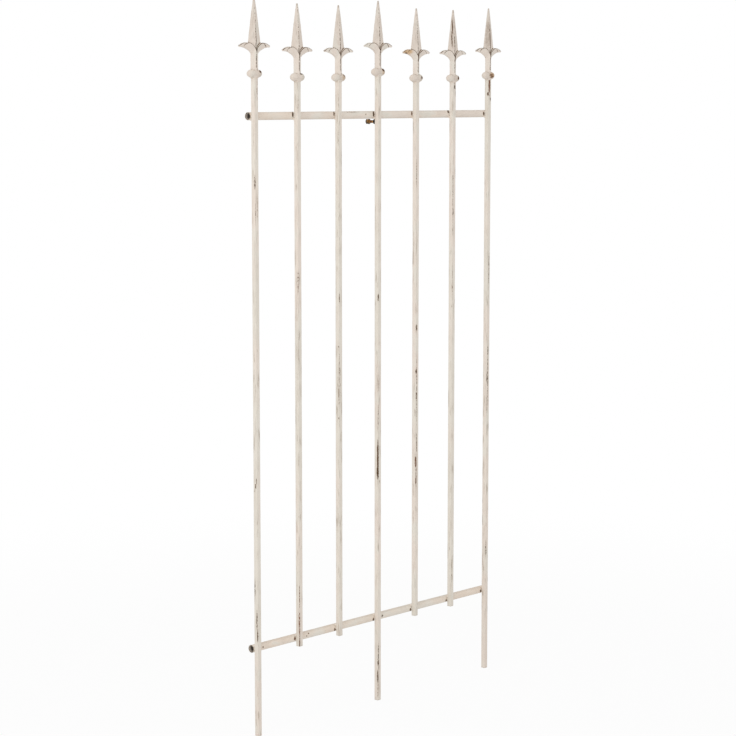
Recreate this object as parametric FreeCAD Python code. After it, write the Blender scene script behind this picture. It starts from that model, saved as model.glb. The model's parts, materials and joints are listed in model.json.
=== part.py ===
import FreeCAD, Part
import math
import os

Vector = FreeCAD.Vector

# Whole trellis, in millimetres: X along the rails, +Y to the back, Z up from the ground end of the legs
overall_height = 1505.0
outer_leg_finial_drop = 5.5
picket_finial_drop = 12.0
bar_pitch = 122.5
picket_foot_height = 166.0

# Square bars, each with a round tenon that carries its finial
bar_width = 10.0
bar_corner_chamfer = 0.6
tenon_diameter = 7.0
tenon_length = 12.0

# Round tube rails, lying against the backs of the bars: one below the middle finial, one above the ground
upper_rail_drop = 81.3
lower_rail_height = 182.0
rail_diameter = 16.0
rail_wall = 2.0
rail_overhang = 1.5
rail_seat_gap = 0.2

# Welds: fillets in the grooves between bar and rail, and a small one round the bar under each finial
rail_weld_length = 12.4
rail_weld_root = 2.4
rail_weld_reach = 7.8
rail_weld_crown = 0.6
rail_weld_depth = 5.0
finial_weld_leg = 0.9

# Cast finial, measured up from its seat on the bar
finial_height = 156.2
socket_clearance = 0.1
socket_end_gap = 0.5

# Foot of the finial, and its collar: a knuckle of two lobes across the bar, with a crease between them
foot_half_width = 6.2
collar_axis_height = 8.3
collar_half_width = 18.6
collar_lobe_radius = 8.3
collar_crease_radius = 7.2
collar_lobe_place = 0.45
collar_end_angle = 75.0
collar_steps = 3
collar_sides = 12

# Neck of the finial, with a ridge down its front and back
neck_half_width = 10.6
neck_half_depth = 6.6

# The two petals, from the fork between them to their drooping tips
petal_foot_offset = 5.8
petal_foot_height = 42.0
petal_fork_height = 52.5
petal_knee_offset = 19.0
petal_knee_height = 55.0
petal_crown_offset = 22.0
petal_crown_height = 69.0
petal_reach = 43.0
petal_tip_top = 62.6
petal_tip_slant = 1.5
petal_tip_thickness = 2.6
petal_inner_arch_rise = 3.2
petal_outer_arch_rise = 2.0
petal_underside_rise = 1.6
petal_sheath_rise = 2.2
petal_root_half_depth = 2.8
petal_tip_half_depth = 2.4

# The raised leaf on the front and back of each petal, which stops short of the petal's tip
leaf_crown_offset = 18.0
leaf_reach = 31.0
leaf_tip_top = 61.4
leaf_outer_arch_rise = 1.8

# Diamond at the crown, to which the sloping faces of the leaves lean out from the neck
flare_half_width = 48.0
flare_half_depth = 10.4

# Blade of the finial: a diamond section that narrows to a blunt tip, and dives between the petals
blade_shoulder_height = 70.0
blade_shoulder_half_width = 17.5
blade_tip_half_width = 2.4
blade_root_height = 46.0
blade_root_half_width = 9.0
blade_depth_to_width = 0.36
blade_edge_power = 0.88
blade_sections = 6

# Bolt through the middle leg under the upper rail, which clamps a wall stay behind the trellis
bolt_diameter = 6.0
bolt_clearance = 0.05
bolt_drop_below_rail = 14.2
bolt_head_diameter = 8.4
bolt_head_height = 1.2
bolt_end_past_nut = 0.8
nut_across_flats = 10.0
nut_thickness = 5.0
nut_chamfer = 0.6
washer_diameter = 11.0
washer_thickness = 1.2
clamp_grip = 14.8

# Worked out from the sizes above
bar_half = bar_width / 2
rail_radius = rail_diameter / 2
rail_back = bar_half + rail_seat_gap + rail_radius
bar_names = [
    "left_leg", "left_outer_picket", "left_inner_picket", "middle_leg",
    "right_inner_picket", "right_outer_picket", "right_leg",
]
middle_index = len(bar_names) // 2
rail_half_length = middle_index * bar_pitch + bar_half + rail_overhang
upper_rail_height = overall_height - finial_height - upper_rail_drop
bolt_height = upper_rail_height - bolt_drop_below_rail
bolt_hole_radius = bolt_diameter / 2 + bolt_clearance
jam_nut_back = bar_half + nut_thickness
clamp_washer_front = jam_nut_back + clamp_grip
clamp_nut_front = clamp_washer_front + washer_thickness
bolt_end = clamp_nut_front + nut_thickness + bolt_end_past_nut

along_x = Vector(1, 0, 0)
along_y = Vector(0, 1, 0)
along_z = Vector(0, 0, 1)


def bar_place(index):
    """X of a bar's axis, counted from the middle leg."""
    return (index - middle_index) * bar_pitch


def bar_foot(name):
    """Height of a bar's lower end: legs reach the ground, pickets stop below the lower rail."""
    return 0.0 if name.endswith("leg") else picket_foot_height


def finial_seat(name):
    """Height at which a bar carries its finial."""
    drop = {"middle_leg": 0.0, "left_leg": outer_leg_finial_drop, "right_leg": outer_leg_finial_drop}
    return overall_height - drop.get(name, picket_finial_drop) - finial_height


def bar_prism(x, low, high):
    """Square prism with the bar's blunted corners."""
    prism = Part.makeBox(bar_width, bar_width, high - low, Vector(x - bar_half, -bar_half, low))
    corners = [edge for edge in prism.Edges if abs(edge.tangentAt(edge.FirstParameter).z) > 0.5]
    return prism.makeChamfer(bar_corner_chamfer, corners)


def make_bar(name, x):
    """One bar with its tenon. The middle leg is also drilled for the bolt."""
    seat = finial_seat(name)
    tenon = Part.makeCylinder(tenon_diameter / 2, tenon_length, Vector(x, 0, seat))
    bar = bar_prism(x, bar_foot(name), seat).fuse(tenon)
    if name == "middle_leg":
        front = Vector(x, -bar_half, bolt_height)
        bar = bar.cut(Part.makeCylinder(bolt_hole_radius, bar_width, front, along_y))
    return bar


def rail_rod(height, radius):
    """Solid round rod along a rail's axis."""
    end = Vector(-rail_half_length, rail_back, height)
    return Part.makeCylinder(radius, 2 * rail_half_length, end, along_x)


def make_rail(height):
    """Open round tube."""
    return rail_rod(height, rail_radius).cut(rail_rod(height, rail_radius - rail_wall))


def rail_welds(height, side):
    """Fillets at all crossings of one rail, in the groove above it (side 1) or below it (side -1)."""
    profile = [
        (0, rail_weld_root),
        (0, rail_weld_reach),
        (rail_weld_depth / 2, rail_weld_reach + rail_weld_crown),
        (rail_weld_depth, rail_weld_reach - rail_weld_crown),
        (rail_weld_depth, rail_weld_root),
        (0, rail_weld_root),
    ]
    rod = rail_rod(height, rail_radius)
    welds = []
    for index in range(len(bar_names)):
        end = Vector(bar_place(index) - rail_weld_length / 2, bar_half, height)
        outline = [end + along_y * back + along_z * side * offset for back, offset in profile]
        weld = Part.Face(Part.makePolygon(outline)).extrude(along_x * rail_weld_length)
        welds.append(weld.cut(rod))
    return Part.makeCompound(welds)


def square(x, half, z):
    """Corners of a square round a bar's axis."""
    return [Vector(x + half * dx, half * dy, z) for dx, dy in [(-1, -1), (1, -1), (1, 1), (-1, 1)]]


def diamond(half_width, half_depth, z):
    """Corners of a diamond with its ridges on the front and back."""
    corners = [(half_width, 0), (0, half_depth), (-half_width, 0), (0, -half_depth)]
    return [Vector(x, y, z) for x, y in corners]


def solid_within(outlines):
    """Solid inside flat faces, each given by its corners."""
    faces = [Part.Face(Part.makePolygon(outline + outline[:1])) for outline in outlines]
    return Part.makeSolid(Part.makeShell(faces))


def flat_faced_solid(rings):
    """Solid through rings of points of one shape, with flat faces from ring to ring."""
    outlines = [rings[0], rings[-1]]
    for low, high in zip(rings, rings[1:]):
        for corner in range(len(low)):
            outlines.append([low[corner - 1], low[corner], high[corner], high[corner - 1]])
    return solid_within(outlines)


def finial_welds():
    """A fillet round each bar, under its finial's foot."""
    rings = []
    for index, name in enumerate(bar_names):
        x = bar_place(index)
        seat = finial_seat(name)
        low = seat - finial_weld_leg
        frustum = flat_faced_solid([square(x, bar_half, low), square(x, bar_half + finial_weld_leg, seat)])
        rings.append(frustum.cut(bar_prism(x, low, seat)))
    return Part.makeCompound(rings)


def rising_arc(start, end, rise):
    """Arc in the XZ plane that stands off its chord by rise, to the left of the way from start to end."""
    chord = end - start
    left = Vector(-chord.z, 0, chord.x).normalize()
    return Part.Arc(start, (start + end) * 0.5 + left * rise, end).toShape()


def collar_ring(place, radius):
    """Ring of points round the collar's axis, at a share of its half width."""
    turns = [math.radians(360 * (side + 0.5) / collar_sides) for side in range(collar_sides)]
    centre = Vector(place * collar_half_width, 0, collar_axis_height)
    return [centre + Vector(0, math.cos(turn), math.sin(turn)) * radius for turn in turns]


def make_collar():
    """Two lobes end to end, each swelling from the crease and rounding off at the side."""
    end_angle = math.radians(collar_end_angle)
    lobe_length = (1 - collar_lobe_place) / math.sin(end_angle)
    lobe = []
    for step in range(collar_steps + 1):
        angle = end_angle * step / collar_steps
        place = collar_lobe_place + lobe_length * math.sin(angle)
        lobe.append((place, collar_lobe_radius * math.cos(angle)))
    mirrored = [(-place, radius) for place, radius in reversed(lobe)]
    stations = mirrored + [(0, collar_crease_radius)] + lobe
    return flat_faced_solid([collar_ring(place, radius) for place, radius in stations])


def make_stem():
    """Square foot on the bar, and the diamond neck from the middle of the collar up to the fork."""
    foot = Part.makeBox(2 * foot_half_width, 2 * foot_half_width, collar_axis_height,
                        Vector(-foot_half_width, -foot_half_width, 0))
    ends = [collar_axis_height, petal_fork_height]
    neck = flat_faced_solid([diamond(neck_half_width, neck_half_depth, z) for z in ends])
    return foot.fuse(neck)


def petal_slab(crown_offset, reach, top, outer_arch_rise):
    """A pair of petals, and the stem between them, as one upright slab as deep as the flare."""
    fork = Vector(0, 0, petal_fork_height)
    crown = Vector(crown_offset, 0, petal_crown_height)
    tip_top = Vector(reach, 0, top)
    tip_low = Vector(reach - petal_tip_slant, 0, top - petal_tip_thickness)
    knee = Vector(petal_knee_offset, 0, petal_knee_height)
    foot = Vector(petal_foot_offset, 0, petal_foot_height)
    right = Part.Wire([
        rising_arc(fork, crown, petal_inner_arch_rise),
        rising_arc(crown, tip_top, outer_arch_rise),
        Part.makeLine(tip_top, tip_low),
        rising_arc(tip_low, knee, -petal_underside_rise),
        rising_arc(knee, foot, -petal_sheath_rise),
    ])
    left = right.mirror(Vector(0, 0, 0), along_x)
    base = Part.makeLine(foot, Vector(-foot.x, 0, foot.z))
    outline = Part.Wire(Part.__sortEdges__(right.Edges + left.Edges + [base]))
    slab = Part.Face(outline).extrude(along_y * 2 * flare_half_depth)
    return slab.translated(along_y * -flare_half_depth)


def petal_plan():
    """Upright prism over the plan of the petals, which thin towards their tips."""
    quarter = [Vector(0, petal_root_half_depth, 0), Vector(petal_reach, petal_tip_half_depth, 0)]
    ring = []
    for side, face in [(1, 1), (1, -1), (-1, -1), (-1, 1)]:
        points = [Vector(side * point.x, face * point.y, 0) for point in quarter]
        ring += points if side == face else points[::-1]
    return Part.Face(Part.makePolygon(ring + ring[:1])).extrude(along_z * finial_height)


def make_flare():
    """Solid with the leaves' sloping faces: each springs from a side of the neck and reaches up to a ridge."""
    low = diamond(neck_half_width, neck_half_depth, petal_foot_height)
    high = diamond(flare_half_width, flare_half_depth, petal_crown_height)
    outlines = [low, high]
    for side, ridge in [(0, 1), (2, 1), (2, 3), (0, 3)]:
        outlines.append([low[side], low[ridge], high[ridge]])
        outlines.append([low[side], high[ridge], high[side]])
    return solid_within(outlines)


def make_petals():
    """Two thin petals, with raised leaves that spring from the neck and stand out over them."""
    petals = petal_slab(petal_crown_offset, petal_reach, petal_tip_top, petal_outer_arch_rise)
    leaves = petal_slab(leaf_crown_offset, leaf_reach, leaf_tip_top, leaf_outer_arch_rise)
    return petals.common(petal_plan()).fuse(leaves.common(make_flare()))


def make_blade():
    """Ridged blade with gently bowed edges, drawn in below its shoulder to end in the fork."""
    sizes = [(blade_root_height, blade_root_half_width)]
    for step in range(blade_sections):
        share = 1 - step / (blade_sections - 1)
        z = finial_height - (finial_height - blade_shoulder_height) * share
        bow = share ** blade_edge_power
        sizes.append((z, blade_tip_half_width + (blade_shoulder_half_width - blade_tip_half_width) * bow))
    return flat_faced_solid([diamond(width, width * blade_depth_to_width, z) for z, width in sizes])


def make_finial():
    """Whole casting, standing on the origin, with the blind socket for the bar's tenon."""
    casting = make_petals().fuse([make_stem(), make_collar(), make_blade()]).removeSplitter()
    socket_radius = tenon_diameter / 2 + socket_clearance
    return casting.cut(Part.makeCylinder(socket_radius, tenon_length + socket_end_gap))


def make_bolt():
    """Low round-headed bolt: head on the front of the middle leg, shank out to the back."""
    shank_radius = bolt_diameter / 2
    shank = Part.makeCylinder(shank_radius, bolt_end + bar_half, Vector(0, -bar_half, bolt_height), along_y)
    head_radius = bolt_head_diameter / 2
    dome_radius = (head_radius ** 2 + bolt_head_height ** 2) / (2 * bolt_head_height)
    dome = Part.makeSphere(dome_radius, Vector(0, dome_radius - bar_half - bolt_head_height, bolt_height))
    front = Part.makeCylinder(dome_radius, bolt_head_height,
                              Vector(0, -bar_half - bolt_head_height, bolt_height), along_y)
    return shank.fuse(dome.common(front))


def make_nut(front):
    """Hexagon nut with the corners of its back face chamfered and one flat turned up to the rail."""
    corner_radius = nut_across_flats / math.sqrt(3)
    centre = Vector(0, front, bolt_height)
    angles = [math.radians(60 * corner) for corner in range(7)]
    ring = [centre + Vector(math.cos(a), 0, math.sin(a)) * corner_radius for a in angles]
    block = Part.Face(Part.makePolygon(ring)).extrude(along_y * nut_thickness)
    drum = Part.makeCylinder(corner_radius, nut_thickness, centre, along_y)
    rims = [edge for edge in drum.Edges if edge.isClosed() and edge.CenterOfMass.y > front]
    block = block.common(drum.makeChamfer(nut_chamfer, rims))
    return block.cut(Part.makeCylinder(bolt_hole_radius, nut_thickness, centre, along_y))


def make_washer(front):
    """Plain washer on the bolt."""
    centre = Vector(0, front, bolt_height)
    disc = Part.makeCylinder(washer_diameter / 2, washer_thickness, centre, along_y)
    return disc.cut(Part.makeCylinder(bolt_hole_radius, washer_thickness, centre, along_y))


def main():
    nodes = {}
    finial = make_finial()
    for index, name in enumerate(bar_names):
        x = bar_place(index)
        nodes[name + "_bar"] = make_bar(name, x)
        nodes[name + "_finial"] = finial.translated(Vector(x, 0, finial_seat(name)))
    nodes["upper_rail"] = make_rail(upper_rail_height)
    nodes["lower_rail"] = make_rail(lower_rail_height)
    nodes["upper_rail_welds"] = rail_welds(upper_rail_height, -1)
    nodes["lower_rail_welds"] = rail_welds(lower_rail_height, 1)
    nodes["finial_welds"] = finial_welds()
    nodes["stay_bolt"] = make_bolt()
    nodes["jam_nut"] = make_nut(bar_half)
    nodes["clamp_washer"] = make_washer(clamp_washer_front)
    nodes["clamp_nut"] = make_nut(clamp_nut_front)

    os.makedirs("parts", exist_ok=True)
    for name, shape in nodes.items():
        if not shape.isValid():
            raise ValueError("invalid solid: " + name)
        shape.exportStep("parts/" + name + ".step")
        print(name, len(shape.Solids), round(shape.Volume, 1))


main()
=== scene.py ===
import json
import math

import bmesh
import bpy
from bpy.props import FloatProperty, FloatVectorProperty, IntProperty, PointerProperty
from mathutils import Matrix, Vector, noise


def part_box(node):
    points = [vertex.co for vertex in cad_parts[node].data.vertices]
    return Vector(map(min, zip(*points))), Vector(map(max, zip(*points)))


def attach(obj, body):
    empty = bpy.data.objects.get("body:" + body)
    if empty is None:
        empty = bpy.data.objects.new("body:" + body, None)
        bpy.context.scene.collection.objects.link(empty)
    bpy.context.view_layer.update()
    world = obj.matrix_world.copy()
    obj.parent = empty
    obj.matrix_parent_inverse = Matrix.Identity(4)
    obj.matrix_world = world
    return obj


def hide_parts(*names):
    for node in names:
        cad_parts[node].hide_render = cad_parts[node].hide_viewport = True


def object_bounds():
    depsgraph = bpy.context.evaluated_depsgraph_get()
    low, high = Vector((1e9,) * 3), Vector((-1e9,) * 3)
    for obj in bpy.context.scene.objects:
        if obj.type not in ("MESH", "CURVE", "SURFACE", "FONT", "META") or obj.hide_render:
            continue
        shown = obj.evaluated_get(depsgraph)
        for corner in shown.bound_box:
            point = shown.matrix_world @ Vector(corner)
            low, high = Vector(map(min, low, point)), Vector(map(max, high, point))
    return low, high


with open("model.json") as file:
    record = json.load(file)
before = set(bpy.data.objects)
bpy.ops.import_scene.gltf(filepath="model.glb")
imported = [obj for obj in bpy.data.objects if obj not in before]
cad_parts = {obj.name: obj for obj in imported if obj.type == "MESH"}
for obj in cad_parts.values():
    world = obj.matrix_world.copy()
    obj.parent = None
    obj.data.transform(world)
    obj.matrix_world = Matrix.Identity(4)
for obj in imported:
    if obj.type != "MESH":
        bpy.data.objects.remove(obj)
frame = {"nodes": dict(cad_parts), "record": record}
cad_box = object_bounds()

bl_info = {
    "name": "Garden trellis finish",
    "version": (1, 0, 0),
    "blender": (4, 5, 0),
    "location": "3D View > Sidebar > Trellis",
    "description": "Worn cream paint, sand-cast finials, weld beads and a rusty clamp bolt for the trellis",
    "category": "Object",
}

# Places read from the frame, in metres
BARS = sorted((node for node in frame["nodes"] if node.endswith("_bar")),
              key=lambda node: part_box(node)[0].x)
FINIALS = [bar.replace("_bar", "_finial") for bar in BARS]
BOX_OF = {node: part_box(node) for node in frame["nodes"]}
MOUNTS = {mount["name"]: mount for mount in frame["record"]["mounts"]}
BAR_HALF = (BOX_OF[BARS[0]][1].x - BOX_OF[BARS[0]][0].x) / 2
RAIL_RADIUS = (BOX_OF["upper_rail"][1].z - BOX_OF["upper_rail"][0].z) / 2
RAIL_BORE = MOUNTS["upper_rail_bore"]["dims"]["r_mm"] / 1000
BOLT_AXIS = Vector(MOUNTS["stay_clamp"]["pos_m"])

# Sizes that the frame doesn't give, in metres
BOLT_RADIUS = 0.003
NUT_BORE = 0.00305

# The rails, and the side of each where its welds lie: below the upper one and above the lower one
RAILS = {"upper_rail": -1, "lower_rail": 1}

WHITE = (1.0, 1.0, 1.0, 1.0)

# Chips in the paint: height and half height, place across and half width, how bare and how red the iron is.
# On a bar, heights go up from the ground, and places go round its front left corner: below zero they are
# to the left of it, and above zero over its front
BAR_CHIPS = {
    "left_leg_bar": [
        (1.318, 0.024, 0.0082, 0.0036, 0.52, 0.1), (1.136, 0.016, -0.0005, 0.0030, 0.85, 0.1),
        (1.066, 0.008, 0.0004, 0.0015, 0.45, 0.2), (0.533, 0.008, -0.0012, 0.0016, 0.85, 0.2),
        (0.514, 0.007, -0.0060, 0.0016, 0.70, 0.2), (0.445, 0.006, 0.0004, 0.0015, 0.40, 0.2),
        (0.310, 0.024, -0.0074, 0.0014, 0.75, 0.0), (0.244, 0.024, -0.0024, 0.0020, 0.95, 0.2),
        (0.522, 0.006, -0.0034, 0.0022, 0.95, 0.3), (0.212, 0.018, -0.0006, 0.0020, 0.95, 0.2),
        (1.085, 0.036, 0.0060, 0.0011, 0.60, 0.2), (1.075, 0.030, 0.0006, 0.0011, 0.60, 0.2),
    ],
    "left_outer_picket_bar": [
        (1.292, 0.020, 0.0015, 0.0050, 0.40, 0.4), (0.930, 0.026, 0.0000, 0.0018, 0.75, 0.5),
        (0.442, 0.005, 0.0000, 0.0022, 0.40, 0.2), (0.276, 0.036, 0.0006, 0.0013, 0.75, 0.7),
        (0.212, 0.032, 0.0004, 0.0020, 1.05, 1.0), (0.178, 0.020, 0.0006, 0.0016, 1.10, 0.7),
        (0.932, 0.012, 0.0045, 0.0020, 0.50, 0.3), (0.222, 0.030, -0.0010, 0.0050, 0.42, 1.0),
    ],
    "left_inner_picket_bar": [
        (1.290, 0.026, 0.0000, 0.0011, 0.54, 0.3), (1.222, 0.034, 0.0000, 0.0009, 0.46, 0.3),
        (1.080, 0.006, 0.0010, 0.0016, 0.45, 0.2), (0.888, 0.012, 0.0014, 0.0022, 0.75, 0.1),
        (0.786, 0.003, -0.0010, 0.0022, 0.60, 0.2), (0.738, 0.056, 0.0010, 0.0011, 0.64, 0.3),
        (0.695, 0.050, 0.0010, 0.0070, 0.44, 0.3), (0.634, 0.004, -0.0008, 0.0015, 0.65, 0.2),
    ],
    "middle_leg_bar": [
        (1.208, 0.014, 0.0035, 0.0016, 0.40, 0.0), (0.992, 0.010, 0.0040, 0.0016, 0.40, 0.0),
        (0.881, 0.010, 0.0008, 0.0028, 0.75, 0.1), (0.695, 0.026, 0.0010, 0.0070, 0.42, 0.1),
        (0.536, 0.040, -0.0002, 0.0026, 1.90, 0.3), (0.504, 0.016, -0.0005, 0.0036, 1.40, 0.2),
        (0.483, 0.005, 0.0050, 0.0020, 0.55, 0.1), (0.625, 0.036, 0.0008, 0.0013, 0.68, 0.2),
        (0.104, 0.026, 0.0016, 0.0014, 0.95, 0.0), (0.030, 0.028, 0.0012, 0.0046, 0.48, 0.1),
        (0.086, 0.010, 0.0012, 0.0030, 0.95, 0.1), (0.074, 0.006, 0.0034, 0.0012, 0.80, 0.0),
        (0.054, 0.016, -0.0002, 0.0026, 1.05, 0.1), (0.014, 0.008, -0.0004, 0.0012, 0.55, 0.1),
    ],
    "right_inner_picket_bar": [
        (1.140, 0.040, 0.0020, 0.0024, 0.58, 0.1), (0.807, 0.007, 0.0030, 0.0030, 1.00, 0.0),
        (0.729, 0.022, 0.0038, 0.0014, 0.65, 0.2), (0.658, 0.014, 0.0032, 0.0028, 0.80, 0.2),
        (0.621, 0.010, -0.0016, 0.0018, 0.60, 0.3), (0.552, 0.028, 0.0040, 0.0013, 0.95, 0.2),
        (0.510, 0.016, 0.0014, 0.0036, 0.98, 0.8), (0.469, 0.013, 0.0020, 0.0024, 0.90, 0.6),
        (0.488, 0.046, 0.0026, 0.0026, 0.62, 0.4), (0.665, 0.090, 0.0042, 0.0012, 0.80, 0.2),
        (0.398, 0.006, -0.0055, 0.0014, 0.55, 0.1), (0.711, 0.006, 0.0022, 0.0036, 0.85, 0.2),
    ],
    "right_outer_picket_bar": [
        (1.327, 0.006, 0.0062, 0.0026, 1.10, 0.0), (1.314, 0.014, 0.0082, 0.0014, 0.55, 0.0),
        (1.337, 0.005, 0.0060, 0.0017, 0.95, 0.0),
        (1.127, 0.014, 0.0010, 0.0024, 0.70, 0.3), (1.053, 0.010, 0.0026, 0.0016, 0.80, 0.2),
        (1.012, 0.012, 0.0008, 0.0022, 0.55, 0.4), (0.888, 0.012, 0.0006, 0.0030, 0.55, 0.6),
        (0.844, 0.005, -0.0006, 0.0018, 0.50, 0.1), (1.112, 0.034, 0.0012, 0.0034, 0.42, 0.4),
        (0.262, 0.022, 0.0030, 0.0040, 0.50, 0.1), (0.232, 0.012, 0.0040, 0.0034, 0.58, 0.1),
        (1.078, 0.076, 0.0016, 0.0012, 0.72, 0.3), (0.900, 0.060, 0.0010, 0.0011, 0.60, 0.4),
    ],
    "right_leg_bar": [
        (1.331, 0.018, 0.0034, 0.0028, 1.35, 0.9), (1.311, 0.005, -0.0012, 0.0030, 1.10, 0.2),
        (1.328, 0.034, 0.0044, 0.0060, 0.46, 1.0),
        (1.300, 0.006, 0.0080, 0.0016, 0.80, 0.0), (0.918, 0.050, 0.0062, 0.0015, 0.75, 0.1),
        (0.736, 0.014, 0.0045, 0.0018, 0.85, 0.1), (0.675, 0.014, 0.0020, 0.0024, 0.85, 0.1),
        (0.614, 0.026, 0.0025, 0.0045, 0.50, 0.1), (0.690, 0.100, 0.0044, 0.0013, 0.78, 0.1),
        (0.280, 0.022, 0.0020, 0.0034, 0.66, 0.1),
    ],
}

# On a rail, heights go up from its axis, and places along it from the bar whose number comes first. The
# dark marks just left of a bar are painted shade in the crevice between rail and bar, and the others are
# chips
RAIL_CHIPS_AND_SHADE = {
    "upper_rail": [
        (1, 0.0030, 0.0056, -0.0080, 0.0024, 1.30, 0.2), (2, 0.0032, 0.0054, -0.0078, 0.0021, 1.15, 0.3),
        (3, 0.0014, 0.0062, -0.0080, 0.0025, 1.45, 0.1), (4, 0.0020, 0.0052, -0.0078, 0.0022, 1.00, 0.4),
        (5, 0.0050, 0.0038, -0.0084, 0.0032, 1.20, 0.1), (6, 0.0000, 0.0044, -0.0080, 0.0026, 1.05, 0.2),
        (2, 0.0060, 0.0012, 0.0480, 0.0240, 0.60, 0.1), (3, 0.0014, 0.0018, -0.0330, 0.0026, 0.72, 0.1),
    ],
    "lower_rail": [
        (0, 0.0005, 0.0018, 0.0200, 0.0024, 0.95, 0.6), (1, 0.0005, 0.0044, -0.0084, 0.0032, 0.88, 0.7),
        (1, 0.0035, 0.0018, 0.0333, 0.0024, 0.90, 0.5), (1, 0.0000, 0.0016, 0.0275, 0.0022, 0.80, 0.5),
        (2, -0.0030, 0.0042, -0.0084, 0.0030, 0.84, 0.3), (3, -0.0030, 0.0046, -0.0082, 0.0029, 1.00, 0.2),
        (3, 0.0000, 0.0024, 0.0212, 0.0028, 0.95, 0.0), (4, -0.0030, 0.0046, -0.0082, 0.0030, 0.88, 0.3),
        (5, -0.0030, 0.0042, -0.0080, 0.0026, 0.95, 0.2), (6, -0.0020, 0.0044, -0.0080, 0.0026, 1.05, 0.2),
    ],
}

# On the front of a finial, heights go up from its seat, and places across from its axis
FINIAL_CHIPS = {
    "left_leg_finial": [
        (0.0125, 0.0034, 0.0108, 0.0042, 1.05, 0.1), (0.0090, 0.0060, 0.0060, 0.0090, 0.30, 0.4),
    ],
    "left_outer_picket_finial": [
        (0.0150, 0.0014, 0.0070, 0.0062, 1.10, 0.1), (0.0480, 0.0050, 0.0000, 0.0016, 0.90, 0.1),
    ],
    "left_inner_picket_finial": [
        (0.0120, 0.0030, 0.0105, 0.0036, 0.75, 0.1), (0.0085, 0.0070, 0.0040, 0.0110, 0.36, 0.4),
    ],
    "middle_leg_finial": [
        (0.0128, 0.0038, 0.0105, 0.0050, 1.20, 0.2), (0.0085, 0.0065, 0.0050, 0.0100, 0.32, 0.4),
        (0.0480, 0.0055, 0.0000, 0.0016, 1.05, 0.1),
    ],
    "right_inner_picket_finial": [
        (0.0088, 0.0040, 0.0105, 0.0036, 0.85, 0.4), (0.0085, 0.0065, 0.0050, 0.0100, 0.30, 0.4),
        (0.0480, 0.0055, 0.0000, 0.0018, 1.10, 0.1), (0.0600, 0.0030, -0.0350, 0.0046, 1.10, 0.5),
    ],
    "right_outer_picket_finial": [
        (0.0088, 0.0050, 0.0110, 0.0040, 1.10, 0.0), (0.0085, 0.0070, 0.0040, 0.0120, 0.36, 0.4),
        (0.0480, 0.0055, 0.0000, 0.0018, 1.10, 0.1), (0.1200, 0.0220, -0.0042, 0.0015, 1.00, 0.4),
        (0.0920, 0.0200, -0.0066, 0.0015, 0.95, 0.4), (0.1000, 0.0450, 0.0000, 0.0140, 0.36, 0.4),
    ],
    "right_leg_finial": [
        (0.0100, 0.0016, 0.0030, 0.0090, 0.98, 0.6), (0.0052, 0.0020, 0.0050, 0.0064, 0.95, 0.5),
        (0.0085, 0.0070, 0.0060, 0.0110, 0.50, 0.5), (0.1000, 0.0450, -0.0060, 0.0110, 0.48, 0.1),
        (0.0950, 0.0360, 0.0016, 0.0016, 1.00, 0.5),
    ],
}

# A bar has the same chips on its right and back faces, this much lower, from a little past the corners
FAR_CHIPS_DROP = 0.17
FAR_CORNER = 0.0008

# Every chip and painted crevice shade on a rail leans to the right by this share of its way to the back
RAIL_CHIPS_AND_SHADE_LEAN = 0.9

# In parts of its half sizes, where a chip is still whole, where it ends and where its nick ends, and in
# metres how far its outline strays across and up
CHIP_WHOLE = 0.5
CHIP_EDGE = 1.3
NICK_EDGE = 1.2
CHIP_STRAY_ACROSS = 0.003
CHIP_STRAY_UP = 0.007

# Upper edge of a finial's raised leaves, as places across and up: over the fork to the crown, and on to
# the tip. The dark line along it is painted shade in the crease under the edge, laid into the edges' wear;
# it is whole near the edge, and fades out sideways and at its ends
LEAF_ARCHES = [
    ((0.0, 0.0525), (0.0068, 0.0631), (0.018, 0.069)),
    ((0.018, 0.069), (0.0254, 0.0668), (0.031, 0.0614)),
]
LEAF_LINE_WHOLE = 0.0006
LEAF_LINE_EDGE = 0.0016
LEAF_LINE_END = 0.001

# Sound, warm and greyed paint of each rail
RAIL_TONES = {"upper_rail": ("cream", "blush", "rosy"), "lower_rail": ("cream", "blush", "sage")}

# Golden rust on a finial: height and half height, place across and half width, and how strong it is
GILDED = {
    "right_inner_picket_finial": (0.0640, 0.0070, -0.0310, 0.0150, 1.0),
    "right_leg_finial": (0.0085, 0.0060, 0.0060, 0.0090, 0.9),
    "middle_leg_finial": (0.0080, 0.0055, 0.0100, 0.0050, 0.5),
    "left_inner_picket_finial": (0.0080, 0.0055, 0.0090, 0.0060, 0.45),
}


def length(name, description, default):
    """A length in metres, for the sidebar."""
    return FloatProperty(name=name, description=description, default=default, unit="LENGTH", precision=5)


def pigment(name, description, default):
    """A colour, for the sidebar."""
    return FloatVectorProperty(name=name, description=description, default=default, subtype="COLOR")


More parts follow.
